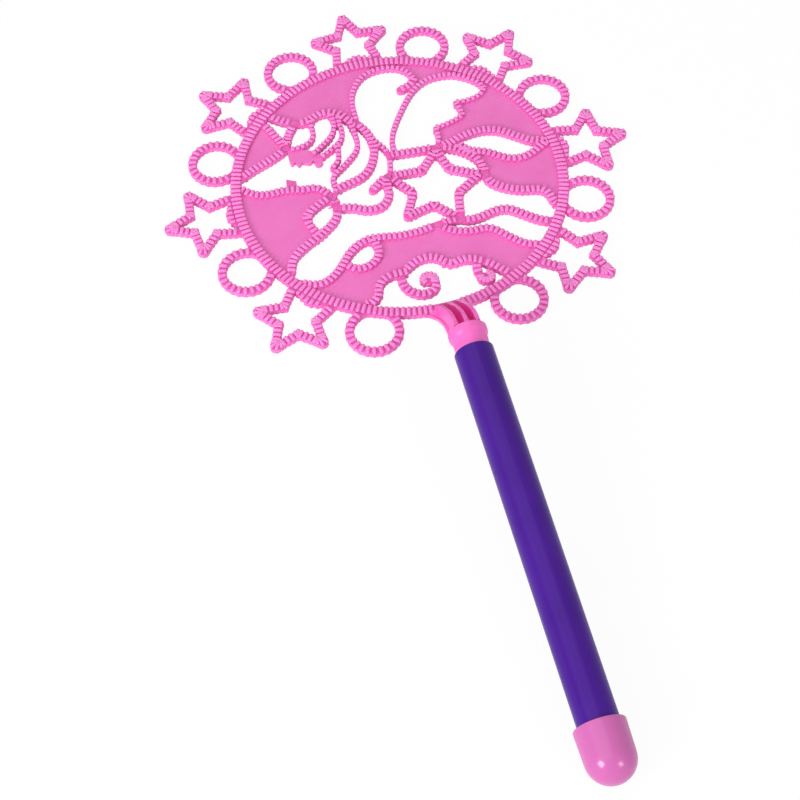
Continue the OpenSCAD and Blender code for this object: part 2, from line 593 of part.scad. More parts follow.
placed() rim();
for (i = [1:loop_count])
    placed() loop(i);
for (i = [1:star_count])
    placed() star(i);
for (i = [0:len(figure_names) - 1])
    placed() figure_piece(i);
for (i = [0:len(panel_names) - 1])
    placed() panel(i);
placed() neck_rib(-neck_gap);  // neck_rib_left
placed() neck_rib(0);  // neck_rib_middle
placed() neck_rib(neck_gap);  // neck_rib_right
placed() mirror([1, 0, 0]) neck_flank();  // neck_flank_left
placed() neck_flank();  // neck_flank_right
placed() neck_web();
placed() collar();
placed() spigot();
placed() handle_tube();
placed() end_cap();
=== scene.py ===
# %% [markdown]
# # A bubble wand: openwork head, raised neck, tube handle and domed cap
#
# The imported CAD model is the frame: it says where every part lies and how the parts move. This
# script dresses it. Bars get rounded film ribs on both faces, the neck becomes one smooth moulding,
# the turned parts get soft edges, and each surface gets a plastic of its own. All this could be
# modelled by hand, but made from the CAD shapes it keeps their sizes.

# %% Load the frame
import json
import math

import bmesh
import bpy
from mathutils import Matrix, Vector, geometry


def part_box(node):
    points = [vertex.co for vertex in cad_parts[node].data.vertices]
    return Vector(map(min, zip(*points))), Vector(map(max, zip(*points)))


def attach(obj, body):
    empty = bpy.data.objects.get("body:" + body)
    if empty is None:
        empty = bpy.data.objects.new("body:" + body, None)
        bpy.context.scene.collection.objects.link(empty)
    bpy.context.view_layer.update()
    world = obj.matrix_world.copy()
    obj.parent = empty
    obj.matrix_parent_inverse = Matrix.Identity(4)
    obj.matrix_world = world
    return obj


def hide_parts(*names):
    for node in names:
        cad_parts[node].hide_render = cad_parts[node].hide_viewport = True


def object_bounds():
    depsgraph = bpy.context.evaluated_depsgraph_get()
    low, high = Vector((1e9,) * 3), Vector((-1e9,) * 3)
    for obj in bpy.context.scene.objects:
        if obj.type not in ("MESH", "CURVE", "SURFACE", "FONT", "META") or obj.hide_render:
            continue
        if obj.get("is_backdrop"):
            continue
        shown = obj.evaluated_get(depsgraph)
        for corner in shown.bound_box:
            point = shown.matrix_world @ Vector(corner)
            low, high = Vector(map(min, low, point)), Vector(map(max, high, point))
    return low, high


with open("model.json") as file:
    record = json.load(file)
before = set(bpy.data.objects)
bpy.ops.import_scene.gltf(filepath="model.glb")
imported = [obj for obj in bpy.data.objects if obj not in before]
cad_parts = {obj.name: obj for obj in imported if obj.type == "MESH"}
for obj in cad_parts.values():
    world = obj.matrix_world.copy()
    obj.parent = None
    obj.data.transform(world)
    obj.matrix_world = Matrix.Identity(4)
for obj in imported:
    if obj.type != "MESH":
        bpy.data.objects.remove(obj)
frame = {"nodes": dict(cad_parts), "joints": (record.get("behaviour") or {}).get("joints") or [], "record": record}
cad_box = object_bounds()

# %% [markdown]
# ## Sizes
#
# Blender works in metres here, so sizes are written in millimetres times MM. The head lies flat on
# the floor. The handle's axis starts at the tube's mouth and slopes down to the cap's dome. What
# the frame can say, such as the head's height, is read from it, so that the two always agree.

# %% Sizes that several cells share
MM = 0.001
HEAD_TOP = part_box("rim")[1].z
RIM_OUT = 90.5 * MM
RIM_IN = 85 * MM
HEAD_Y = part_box("rim")[0].y + RIM_OUT
MOUTH_FROM_RIM = 46.3 * MM
MOUTH_HEIGHT = 30.8 * MM
MOUTH = Vector((0, HEAD_Y - RIM_OUT - MOUTH_FROM_RIM, MOUTH_HEIGHT))
HANDLE_AXIS = Vector(frame["joints"][0]["axis"]).normalized()
print("handle axis", [round(c, 4) for c in HANDLE_AXIS], "mouth", [round(c, 4) for c in MOUTH])

# %% [markdown]
# ## The camera
#
# It stands where the photograph was taken from: well above the head, a little to its left, with a
# lens long enough that the far stars are hardly smaller than the near ones. It could be aimed by
# eye, but it was fitted to points of the rim, the loops and the tube. The three rows are the
# camera's right, up and backward directions.

# %% Camera at the photograph's angle
CAMERA_RIGHT = (0.964900, -0.262522, -0.007046)
CAMERA_UP = (0.222354, 0.802398, 0.553820)
CAMERA_BACK = (-0.139736, -0.535948, 0.832607)
CAMERA_PLACE = (-0.16017, -0.49508, 0.73724)
camera_data = bpy.data.cameras.new("photo_camera")
camera_data.sensor_width = 36
camera_data.lens = 80.67
camera_data.clip_end = 50
camera = bpy.data.objects.new("photo_camera", camera_data)
bpy.context.scene.collection.objects.link(camera)
turn = Matrix((CAMERA_RIGHT, CAMERA_UP, CAMERA_BACK)).transposed().to_4x4()
camera.matrix_world = Matrix.Translation(CAMERA_PLACE) @ turn
bpy.context.scene.camera = camera
print("camera lens", camera_data.lens, "mm")

# %% [markdown]
# ## Writing node trees as sums
#
# Both shaders and Geometry Nodes are node trees. They could be wired up node by node, but the maths
# is then hard to read. A small class wraps a socket, so that `0.3 + 0.1 * speckle` adds the Math
# nodes by itself, and one method adds any other node.

# %% A socket that can be added and multiplied
class Value:
    """A socket of a node tree. Sums and products on it add Math nodes and give the result."""

    def __init__(self, kit, socket):
        self.kit, self.socket = kit, socket

    def math(self, operation, first, second):
        return self.kit.node("ShaderNodeMath", {"operation": operation}, {0: first, 1: second})

    def __add__(self, other):
        return self.math("ADD", self, other)

    def __radd__(self, other):
        return self.math("ADD", other, self)

    def __sub__(self, other):
        return self.math("SUBTRACT", self, other)

    def __mul__(self, other):
        return self.math("MULTIPLY", self, other)

    def __rmul__(self, other):
        return self.math("MULTIPLY", other, self)


print("sums on sockets are ready")


# %% A kit that adds nodes
class Kit:
    """Adds nodes to one tree: settings first, then the values or links of the sockets."""

    def __init__(self, tree):
        self.tree = tree

    def node(self, kind, settings=None, sockets=None, out=0):
        made = self.tree.nodes.new(kind)
        for name, value in (settings or {}).items():
            setattr(made, name, value)
        for name, value in (sockets or {}).items():
            if isinstance(value, Value):
                self.tree.links.new(value.socket, made.inputs[name])
            else:
                made.inputs[name].default_value = value
        return Value(self, made.outputs[out])

    def mix(self, factor, first, second):
        """A colour between two, by a Mix node: its colour sockets are 6 and 7, its result is 2."""
        return self.node("ShaderNodeMix", {"data_type": "RGBA"}, {0: factor, 6: first, 7: second}, 2)

    def noise(self, where, scale, detail=3.0):
        """Soft noise from 0 to 1, with about as many spots to a metre as scale says."""
        return self.node("ShaderNodeTexNoise", None,
                         {"Vector": where, "Scale": scale, "Detail": detail}, "Fac")

    def ramp(self, value, low, high):
        """0 below low, 1 above high, and straight between."""
        return self.node("ShaderNodeMapRange", None,
                         {"Value": value, "From Min": low, "From Max": high})

    def bump(self, height, strength, distance):
        """A normal that leans as a height does."""
        return self.node("ShaderNodeBump", None,
                         {"Strength": strength, "Distance": distance, "Height": height}, "Normal")


def screen(red, green, blue):
    """A colour as a screen shows it, 0 to 255, as the linear colour that a socket takes."""
    shares = [c / 255 for c in (red, green, blue)]
    return (*[c / 12.92 if c <= 0.04045 else ((c + 0.055) / 1.055) ** 2.4 for c in shares], 1.0)


print("a screen's middle grey is", round(screen(128, 128, 128)[0], 3), "in a socket")

# %% [markdown]
# ## Moulded and extruded plastics
#
# All parts are glossy plastic, but no two surfaces look alike. Moulded pink has faint clouds of
# colour where the melt mixed, a skin with the slightest orange peel, and pale specks where it is
# worn. On the bars the crests carry a painted highlight and the grooves a painted shade. Light goes
# a little way into all pinks but the cap's and comes out redder. One flat colour could stand for
# each, but then the ribs and their grooves would hardly show, as light fills every hollow here.

# %% The moulded pinks
CLOUDS, SPECKLES, PEEL = 55.0, 420.0, 900.0
RUBBED = 0.3
# Painted shade deepens the bars' grooves to a darker pink, and a painted highlight makes their crests paler.
GROOVE_SHADE, CREST_HIGHLIGHT = 0.65, 0.5
PAINTED_SHADE_PINK = screen(220, 76, 164)
SPREAD_RATIO, SPREAD_REACH = (1.0, 0.12, 0.7), 3 * MM
PLASTIC_IOR = 1.49


def moulded(name, color, deep, pale, rough, milky, groove=None, peel=0.06):
    """A moulded plastic: clouds of deep in color, pale specks where it is worn, rough skin.

    Milky says how much light goes in and spreads. With a groove height, a painted shade deepens the
    colour round that height and a painted highlight makes it pale above it."""
    material = bpy.data.materials.new(name)
    material.use_nodes = True
    material.diffuse_color = color
    kit = Kit(material.node_tree)
    shader = material.node_tree.nodes["Principled BSDF"]
    where = kit.node("ShaderNodeTexCoord", out="Object")
    clouds = kit.ramp(kit.noise(where, CLOUDS), 0.35, 0.7)
    speckle = kit.noise(where, SPECKLES, 2.0)
    skin = kit.noise(where, PEEL, 2.0)
    body = kit.mix(clouds, color, deep)
    wear_and_highlight = kit.ramp(speckle, 0.55, 0.85) * RUBBED
    if groove:
        # Painted shade: the colour deepens to a darker pink round the groove height, where the ribs meet the core.
        height = kit.node("ShaderNodeSeparateXYZ", None, {0: where}, "Z")
        above = height - groove
        shaded = kit.ramp(above.math("ABSOLUTE", above, 0.0), 0.5 * MM, 0.1 * MM)
        body = kit.mix(shaded * GROOVE_SHADE, body, PAINTED_SHADE_PINK)
        # Painted highlight: everything above the grooves, the crests, goes pale on top of the worn specks.
        wear_and_highlight = wear_and_highlight + kit.ramp(above, 0.5 * MM, 1.0 * MM) * CREST_HIGHLIGHT
    tinted = kit.mix(wear_and_highlight, body, pale)
    bump = kit.bump(skin, peel, 0.2 * MM)
    for socket, value in (("Base Color", tinted), ("Roughness", rough + 0.1 * speckle), ("Normal", bump)):
        kit.tree.links.new(value.socket, shader.inputs[socket])
    shader.inputs["IOR"].default_value = PLASTIC_IOR
    shader.inputs["Subsurface Weight"].default_value = milky
    shader.inputs["Subsurface Radius"].default_value = SPREAD_RATIO
    shader.inputs["Subsurface Scale"].default_value = SPREAD_REACH
    return material


BAR_PINK = moulded("bar_pink", screen(251, 124, 206), screen(247, 114, 199), screen(255, 152, 221),
                   rough=0.34, milky=0.2, groove=3.4 * MM)
PANEL_PINK = moulded("panel_pink", screen(238, 117, 194), screen(233, 110, 188), screen(243, 129, 201),
                     rough=0.3, milky=0.2)
NECK_PINK = moulded("neck_pink", screen(243, 110, 194), screen(238, 102, 187), screen(250, 126, 204),
                    rough=0.3, milky=0.5)
SLOT_PINK = moulded("slot_pink", screen(255, 88, 194), screen(254, 80, 187), screen(255, 100, 202),
                    rough=0.3, milky=0.3)
CAP_PINK = moulded("cap_pink", screen(197, 94, 166), screen(195, 92, 164), screen(199, 97, 169),
                   rough=0.16, milky=0.0, peel=0.012)
print("moulded plastics:", [m.name for m in (BAR_PINK, PANEL_PINK, NECK_PINK, SLOT_PINK, CAP_PINK)])

# %% [markdown]
# The tube was drawn through a die, so its marks run along it. A noise that is stretched fifty times
# along the handle's axis gives such marks. A picture of scratches could do it too, but the noise
# has no seam where it goes round the tube.

# %% The extruded purple
DRAW_LINES, DRAW_BANDS, TUBE_CLOUDS = 1400.0, 260.0, 40.0
STRETCH = 0.02
BAND_TONE, TUBE_SHINE = 0.6, 0.16


def extruded(name, color, deep, pale):
    """Tube plastic: faint draw lines and a change of tone that run along the handle's axis."""
    material = bpy.data.materials.new(name)
    material.use_nodes = True
    material.diffuse_color = color
    kit = Kit(material.node_tree)
    shader = material.node_tree.nodes["Principled BSDF"]
    where = kit.node("ShaderNodeTexCoord", out="Object")
    slope = math.asin(HANDLE_AXIS.z)
    along = kit.node("ShaderNodeMapping", None, {"Vector": where, "Rotation": (-slope, 0, 0)})
    drawn = kit.node("ShaderNodeMapping", None, {"Vector": along, "Scale": (1.0, STRETCH, 1.0)})
    lines = kit.noise(drawn, DRAW_LINES, 2.0)
    bands = kit.noise(drawn, DRAW_BANDS, 2.0)
    clouds = kit.noise(where, TUBE_CLOUDS)
    body = kit.mix(kit.ramp(clouds, 0.35, 0.7), color, deep)
    tinted = kit.mix(kit.ramp(bands, 0.45, 0.8) * BAND_TONE, body, pale)
    bump = kit.bump(lines, 0.08, 0.1 * MM)
    for socket, value in (("Base Color", tinted), ("Roughness", 0.17 + 0.08 * bands), ("Normal", bump)):
        kit.tree.links.new(value.socket, shader.inputs[socket])
    shader.inputs["Specular IOR Level"].default_value = TUBE_SHINE
    return material


TUBE_PURPLE = extruded("tube_purple", screen(67, 17, 136), screen(60, 11, 126), screen(76, 26, 145))
print("extruded plastic:", TUBE_PURPLE.name)

# %% [markdown]
# ## Bars with film ribs
#
# Every bar of the head carries rounded ribs across it, above and below, and between them a smooth
# wall runs round. The grooves get a painted shade of deeper pink and the crests a painted highlight.
# The CAD nodes hold each bar's outline and, a little higher, the outline of every rib. Those solids
# could be given soft edges by a Bevel modifier, but where ribs meet, it makes folds. So a bar is
# made again from its outline, and each rib outline becomes one point that says where a rounded rib goes.

# %% Read flat outlines off a CAD node
LEVEL = 0.01 * MM


def level_faces(node, height):
    """The node's level faces at a height, as a flat shape of their own."""
    shape = bmesh.new()
    shape.from_mesh(frame["nodes"][node].data)
    bmesh.ops.remove_doubles(shape, verts=shape.verts, dist=0.01 * MM)
    other = [f for f in shape.faces if abs(f.normal.z) < 0.99
             or not height - LEVEL <= f.calc_center_median().z <= height + LEVEL]
    bmesh.ops.delete(shape, geom=other, context="FACES")
    return shape


def islands(shape):
    """The faces of a flat shape, grouped where they share an edge."""
    left, groups = set(shape.faces), []
    while left:
        group, waiting = [], [left.pop()]
        while waiting:
            face = waiting.pop()
            group.append(face)
            near = {f for e in face.edges for f in e.link_faces} & left
            left -= near
            waiting.extend(near)
        groups.append(group)
    return groups


rim_ribs = level_faces("rim", HEAD_TOP)
print("rib outlines on the rim:", len(islands(rim_ribs)))
rim_ribs.free()

# %% [markdown]
# A flat outline becomes a closed block: its faces once below and once above, and rows of wall round
# them. The first and last rows lean inwards along a quarter circle, so that no edge is left sharp.
# Every corner moves along the mean of its two sides, which keeps the walls parallel.

# %% Blocks from outlines
SOFT_EDGE = 0.22 * MM
HALFWAY = 0.29


def loop_from_above(face):
    """A level face's corners, anticlockwise as seen from above."""
    return list(face.verts) if face.normal.z > 0 else list(reversed(face.verts))


def side_edges(faces):
    """The outline's edges, each as its two corners with the inside on its left."""
    members = set(faces)
    for face in faces:
        loop = loop_from_above(face)
        for a, b in zip(loop, loop[1:] + loop[:1]):
            edge = next(e for e in a.link_edges if e.other_vert(a) is b)
            if len(members.intersection(edge.link_faces)) == 1:
                yield a, b


def add_block(target, faces, bottom, top):
    """Adds to target the closed block over some flat faces, with rounded upper and lower edges."""
    sides = list(side_edges(faces))
    inward = {v: Vector((0, 0)) for f in faces for v in f.verts}
    for a, b in sides:
        across = (b.co - a.co).to_2d().orthogonal().normalized()
        inward[a] += across
        inward[b] += across
    for vert, both in inward.items():
        inward[vert] = both * 2 / max(both.length_squared, 1.2) if both.length > 0.1 else both
    rows = []
    for height, lean in ((bottom, 1.0), (bottom + HALFWAY * SOFT_EDGE, HALFWAY), (bottom + SOFT_EDGE, 0),
                         (top - SOFT_EDGE, 0), (top - HALFWAY * SOFT_EDGE, HALFWAY), (top, 1.0)):
        rows.append({v: target.verts.new((*(v.co.to_2d() + lean * SOFT_EDGE * inward[v]), height))
                     for v in inward})
    for face in faces:
        loop = loop_from_above(face)
        target.faces.new([rows[-1][v] for v in loop])
        target.faces.new([rows[0][v] for v in reversed(loop)])
    for low, high in zip(rows, rows[1:]):
        for a, b in sides:
            target.faces.new([low[a], low[b], high[b], high[a]])


print("soft edges of", round(SOFT_EDGE / MM, 2), "mm")

# %% [markdown]
# A rib is told by four numbers beside its place: its turn, its length, its width, and how much of
# its box it fills. A plain rib fills nearly all of it. Ribs that run into one another do not.

# %% Where a rib lies
RIB_W = 1.5 * MM
PLAIN_WIDE = 1.15 * RIB_W
PLAIN_FILL = 0.85
THIN = 0.8 * MM


def rib_station(faces):
    """Where a rib's outline lies: centre, turn, length, width, and the share of its box it fills."""
    corners = [v.co.to_2d() for v in {v for f in faces for v in f.verts}]
    angle = geometry.box_fit_2d(corners)
    level = [Matrix.Rotation(angle, 2) @ c for c in corners]
    low = Vector((min(c.x for c in level), min(c.y for c in level)))
    high = Vector((max(c.x for c in level), max(c.y for c in level)))
    size = high - low
    centre = Matrix.Rotation(-angle, 2) @ ((low + high) / 2)
    if size.x < size.y:
        angle, size = angle - math.pi / 2, size.yx
    filled = sum(f.calc_area() for f in faces) / (size.x * size.y)
    return centre, -angle, size.x, size.y, filled


def is_sliver(faces):
    """Whether an outline is so thin on the whole that no rib is left of it."""
    around = sum((a.co - b.co).length for a, b in side_edges(faces))
    return sum(f.calc_area() for f in faces) < THIN / 2 * around


print("a plain rib is under", round(PLAIN_WIDE / MM, 2), "mm wide")

# %% [markdown]
# ## Geometry Nodes: one rounded rib at every point
#
# Some 1150 ribs are all one shape. They could be copied in a loop, but Geometry Nodes makes the
# shape once, a small block that one step of subdivision rounds off, and sets it on every point,
# long as that point says, once on the upper face and once on the lower. The tree's inputs name
# the sizes.

# %% The rib tree
RIB_MARKS = ("rib_mark", "rib_turn", "rib_long", "rib_wide")
RIB_DEPTH = 2.2 * MM
RIB_SPREAD = 0.5 * MM


def input_socket(tree, name, kind, value=None):
    item = tree.interface.new_socket(name=name, in_out="INPUT", socket_type=kind)
    if value is not None:
        item.default_value = value
    return item.identifier


def rib_tree():
    tree = bpy.data.node_groups.new("film_ribs", "GeometryNodeTree")
    inputs = {
        "Bars and stations": input_socket(tree, "Bars and stations", "NodeSocketGeometry"),
        "Crest": input_socket(tree, "Crest", "NodeSocketFloat", HEAD_TOP),
        "Rib depth": input_socket(tree, "Rib depth", "NodeSocketFloat", RIB_DEPTH),
        "Rib spread": input_socket(tree, "Rib spread", "NodeSocketFloat", RIB_SPREAD),
        "Plastic": input_socket(tree, "Plastic", "NodeSocketMaterial"),
    }
    tree.interface.new_socket(name="Ribbed bars", in_out="OUTPUT", socket_type="NodeSocketGeometry")
    kit = Kit(tree)
    given = tree.nodes.new("NodeGroupInput")
    bars, crest, depth, spread, plastic = [Value(kit, given.outputs[name]) for name in inputs]
    mark, turn, long, wide = [
        kit.node("GeometryNodeInputNamedAttribute", {"data_type": "FLOAT"}, {"Name": name}, "Attribute")
        for name in RIB_MARKS]
    split = kit.node("GeometryNodeSeparateGeometry", {"domain": "POINT"},
                     {"Geometry": bars, "Selection": mark}, "Selection")
    block = kit.node("GeometryNodeMeshCube", None,
                     {"Size": (1, 1, 1), "Vertices X": 4, "Vertices Y": 3, "Vertices Z": 2}, "Mesh")
    rounded = kit.node("GeometryNodeSubdivisionSurface", None, {"Mesh": block, "Level": 1}, "Mesh")
    turned_by = kit.node("ShaderNodeCombineXYZ", None, {"Z": turn})
    size = kit.node("ShaderNodeCombineXYZ", None,
                    {"X": long + 0.3 * spread, "Y": wide + spread, "Z": depth})
    layers = []
    for height in (crest - 0.5 * depth, 0.5 * depth):
        ribs = kit.node("GeometryNodeInstanceOnPoints", None,
                        {"Points": split, "Instance": rounded, "Rotation": turned_by, "Scale": size},
                        "Instances")
        lift = kit.node("ShaderNodeCombineXYZ", None, {"Z": height})
        layers.append(kit.node("GeometryNodeTranslateInstances", None,
                               {"Instances": ribs, "Translation": lift, "Local Space": False},
                               "Instances"))
    join = tree.nodes.new("GeometryNodeJoinGeometry")
    tree.links.new(split.socket.node.outputs["Inverted"], join.inputs[0])
    for layer in layers:
        tree.links.new(layer.socket, join.inputs[0])
    real = kit.node("GeometryNodeRealizeInstances", None, {0: Value(kit, join.outputs[0])})
    dressed = kit.node("GeometryNodeSetMaterial", None, {"Geometry": real, "Material": plastic})
    tree.links.new(dressed.socket, tree.nodes.new("NodeGroupOutput").inputs[0])
    return tree, inputs


RIBS, RIB_INPUTS = rib_tree()
print("rib tree inputs:", list(RIB_INPUTS))

# %% [markdown]
# ## Plain meshes and shading
#
# After a modifier has run, its result is taken as a plain mesh and the modifier is left behind,
# because the export wants finished shapes. Smooth shading alone would make flat faces look bulged
# beside their rounded edges. So the large faces lead, which the Weighted Normal modifier sees to.

# %% New objects, plain meshes, shading
def new_object(name, mesh):
    made = bpy.data.objects.new(name, mesh)
    bpy.context.scene.collection.objects.link(made)
    return made


def take_plain(piece):
    """Puts the mesh that the modifiers make in the place of the object's own, without them."""
    graph = bpy.context.evaluated_depsgraph_get()
    mesh = bpy.data.meshes.new_from_object(piece.evaluated_get(graph), depsgraph=graph)
    piece.modifiers.clear()
    piece.data = mesh
    mesh.name = piece.name


def shade(piece, sharp_deg=50):
    """Smooth shading that keeps sharp edges and lets large faces lead, so that they look flat."""
    piece.data.shade_smooth()
    piece.data.set_sharp_from_angle(angle=math.radians(sharp_deg))
    piece.modifiers.new("lead", "WEIGHTED_NORMAL").keep_sharp = True
    take_plain(piece)


print("large faces lead the shading")

# %% [markdown]
# ## From outlines to finished bars
#
# A rib whose outline is a plain rectangle becomes a point. Where two ribs run into one in a
# corner, their common outline is kept and becomes a low block with the same rounded edges as the
# bar. At some corners, ribs of this script's own take the place of the frame's. Blocks that lie in
# one another differ a little in height, because two faces in one plane would render as spots.

# %% Make a bar piece for each ribbed node
RIB_H = 1.1 * MM
LOW_RIB_H = 0.6 * MM
CORE_TOP = HEAD_TOP - RIB_H
RIB_SWELL = 1.2
RIB_NEAR = 2.2 * MM
STEP_IN = 0.05 * MM
DISC_STEP_IN = 0.06 * MM


def sort_ribs(rib_outlines, own_ribs, corners):
    """The stations of a node's ribs, this script's own first, and the outlines that stay blocks."""
    stations, joined = list(own_ribs), []
    for group in islands(rib_outlines):
        centre, angle, long, wide, filled = rib_station(group)
        if any((centre - corner).length < reach for corner, reach, radius in corners):
            continue
        if any((centre - other[0]).length < RIB_NEAR for other in own_ribs):
            continue
        if filled > PLAIN_FILL and wide < PLAIN_WIDE:
            stations.append((centre, angle, long, wide))
        elif not is_sliver(group):
            joined.append(group)
    return stations, joined


def ribbed_bars(node, plastic, own_ribs=(), corners=()):
    """The bar piece of a node. Own ribs take the place of those near them. A corner, a point and a
    reach, clears the ribs round it and, with a disc radius, is rounded off."""
    outline = level_faces(node, 0.0)
    rib_outlines = level_faces(node, HEAD_TOP)
    made = bmesh.new()
    marks = {name: made.verts.layers.float.new(name) for name in RIB_MARKS}
    add_block(made, list(outline.faces), LOW_RIB_H, CORE_TOP)
    for corner, reach, radius in corners:
        if radius:
            disc = bmesh.ops.create_circle(outline, cap_ends=True, radius=radius, segments=24,
                                           matrix=Matrix.Translation(corner.to_3d()))
            add_block(made, disc["verts"][0].link_faces, LOW_RIB_H + DISC_STEP_IN, CORE_TOP - DISC_STEP_IN)
    stations, joined = sort_ribs(rib_outlines, own_ribs, corners)
    for group in joined:
        add_block(made, group, CORE_TOP - RIB_H, HEAD_TOP - STEP_IN)
        add_block(made, group, STEP_IN, 2 * LOW_RIB_H)
    for centre, angle, long, wide in stations:
        station = made.verts.new((centre.x, centre.y, 0))
        for name, value in zip(RIB_MARKS, (1.0, angle, long, wide * RIB_SWELL)):
            station[marks[name]] = value
    mesh = bpy.data.meshes.new(node)
    made.to_mesh(mesh)
    piece = new_object(node + "_bars", mesh)
    ribs = piece.modifiers.new("ribs", "NODES")
    ribs.node_group = RIBS
    ribs[RIB_INPUTS["Plastic"]] = plastic
    take_plain(piece)
    shade(piece)
    for shape in (outline, rib_outlines, made):
        shape.free()
    print(node, "ribs", len(stations), "joined", len(joined), "faces", len(piece.data.polygons))
    return piece


print("grooves go down to", round(CORE_TOP / MM, 2), "mm above the floor")

# %% [markdown]
# ## Ribs that fan out
#
# Where a bar turns a corner, the real ribs fan out round it, like the sticks of a fan. A rib of a
# fan is told by the corner it points away from, its direction, and where it starts and ends.

# %% One rib of a fan
def towards(centre, far, degrees):
    """The point that lies far from centre in a direction, in degrees from the x axis."""
    return centre + far * Vector((math.cos(math.radians(degrees)), math.sin(math.radians(degrees))))


def fan_rib(corner, degrees, near, far, wide=RIB_W):
    """A rib that points away from a corner, from near to far."""
    return towards(corner, (near + far) / 2, degrees), math.radians(degrees), far - near, wide


# One rib closes the row on the rim, left of the neck.
LAST_RIB_DEG = -94.8
LAST_RIB_LONG = 6.1 * MM
rim_middle = (RIM_OUT + RIM_IN) / 2
last_rib = fan_rib(Vector((0, HEAD_Y)), LAST_RIB_DEG, rim_middle - LAST_RIB_LONG / 2,
                   rim_middle + LAST_RIB_LONG / 2)
print("the rim's last rib lies at", [round(c / MM, 1) for c in last_rib[0]], "mm")

# %% [markdown]
# A star's ribs turn about the corner inside each free tip and about the corner outside each notch.
# Between two corners the bar is straight and its ribs lie even. The frame's own ribs cross at the
# tips, so the stars are done anew from the same numbers. The tips are rounder than the bars, so a
# disc fills each. The two tips on the rim stay as they are.

# %% Fans at the stars' corners
STAR_AT = 104.989 * MM
TIP_R, NOTCH_R = 21 * MM, 10 * MM
BAR_W, BAR_LIP = 4.2 * MM, 0.3 * MM
STAR_STEP_DEG = 36
TIP_LEAN, NOTCH_LEAN = 65.5, 29.5
INNER_AT = TIP_R - BAR_W / 2 / math.cos(math.radians(TIP_LEAN))
OUTER_AT = NOTCH_R + BAR_W / 2 / math.cos(math.radians(NOTCH_LEAN))
NOTCH_REACH = BAR_W / math.cos(math.radians(NOTCH_LEAN)) + BAR_LIP
RUN, RUN_RIBS = 8.39 * MM, 4
TIP_REACH = 6.85 * MM
TIP_DISC_AT, TIP_DISC_R = TIP_R - 1.5 * MM, 3.3 * MM
TIP_CLEAR, NOTCH_CLEAR = 5.5 * MM, 3.5 * MM
TIP_START, NOTCH_START = 0.8 * MM, 0.6 * MM
TIP_FAN, TIP_RIB_W = (-0.6, -0.2, 0.2, 0.6), 0.8 * RIB_W


def straight_run(corner, lean, side):
    """The ribs of the straight bar that starts beside a corner, across it and evenly spaced."""
    starts = [towards(corner, RUN * rib / (RUN_RIBS - 1), lean + side * 90) for rib in range(RUN_RIBS)]
    return [fan_rib(start, lean, -BAR_LIP, BAR_W + BAR_LIP) for start in starts]


def star_fans(number):
    """The free corners and their ribs for one star. Star 1 is the first after the handle."""
    outwards = 45 * number - 90
    star = towards(Vector((0, HEAD_Y)), STAR_AT, outwards)
    corners, ribs = [], []
    for step in (-2, 0, 2):
        way = outwards + STAR_STEP_DEG * step
        inner = towards(star, INNER_AT, way)
        corners.append((towards(star, TIP_DISC_AT, way), TIP_CLEAR, TIP_DISC_R))
        for lean in TIP_FAN:
            mitre = BAR_W / math.cos(math.radians(TIP_LEAN * (1 - abs(lean))))
            ribs.append(fan_rib(inner, way + lean * TIP_LEAN, TIP_START,
                                min(mitre + BAR_LIP, TIP_REACH), TIP_RIB_W))
        for side in (-1, 1):
            ribs += straight_run(inner, way + side * TIP_LEAN, side)
    for step in (-3, -1, 1, 3):
        way = outwards + STAR_STEP_DEG * step
        outer = towards(star, OUTER_AT, way)
        corners.append((towards(star, NOTCH_R, way), NOTCH_CLEAR, 0))
        ribs.append(fan_rib(outer, way + 180, NOTCH_START, NOTCH_REACH))
        if abs(step) == 3:
            side = 1 if step > 0 else -1
            ribs += straight_run(outer, way + 180 - side * NOTCH_LEAN, -side)
    return corners, ribs


print("own ribs for each star:", len(star_fans(1)[1]))

# %% [markdown]
# Two strands of the cloud roll up in curls, and the ribs fan out round each curl's end as on a
# shell. Where the curls leave the cloud's edge and in its notch, the frame's ribs cross, so single
# ribs are laid there by place and direction.

# %% Fans at the cloud's curls
CURL_START = 0.9 * MM


def curl_ribs(centre, directions, reaches):
    """Ribs fanned round the end of a curl, each as far as the curl goes in its direction."""
    return [fan_rib(centre, way, CURL_START, far * MM) for way, far in zip(directions, reaches)]


def on_head(x, y):
    """A point of the head, in mm from its middle."""
    return Vector((x * MM, HEAD_Y + y * MM))


BIG_CURL, SMALL_CURL = on_head(-3.3, -69.1), on_head(26.1, -74.2)
CURLS = [(BIG_CURL, 3.9 * MM, 2.6 * MM), (SMALL_CURL, 3.2 * MM, 2.2 * MM)]
CURL_RIBS = curl_ribs(BIG_CURL, range(-25, 200, 28), (5.6, 5.6, 5.6, 5.5, 5.4, 5.3, 5.0, 4.5, 3.8))
CURL_RIBS += curl_ribs(SMALL_CURL, range(175, 420, 30), (5, 5, 5, 5, 5, 5, 4.9, 4.4, 3.8))
CLEAR_ONE, HALF_RIB = 2.4 * MM, 2.4 * MM
for x, y, degrees in ((-18.8, -60.6, 90), (-16, -60.6, 90), (-13.2, -60.6, 90), (8, -59.7, 52),
                      (10.6, -61.3, 70), (13.2, -61.4, 108), (15.9, -60.8, 102), (18.5, -60.8, 96),
                      (21.1, -61.3, 78), (23.7, -62.3, 70), (26.2, -63.7, 62)):
    crossing = on_head(x, y)
    CURLS.append((crossing, CLEAR_ONE, 0))
    CURL_RIBS.append(fan_rib(crossing, degrees, -HALF_RIB, HALF_RIB))
print("own ribs of the cloud:", len(CURL_RIBS))
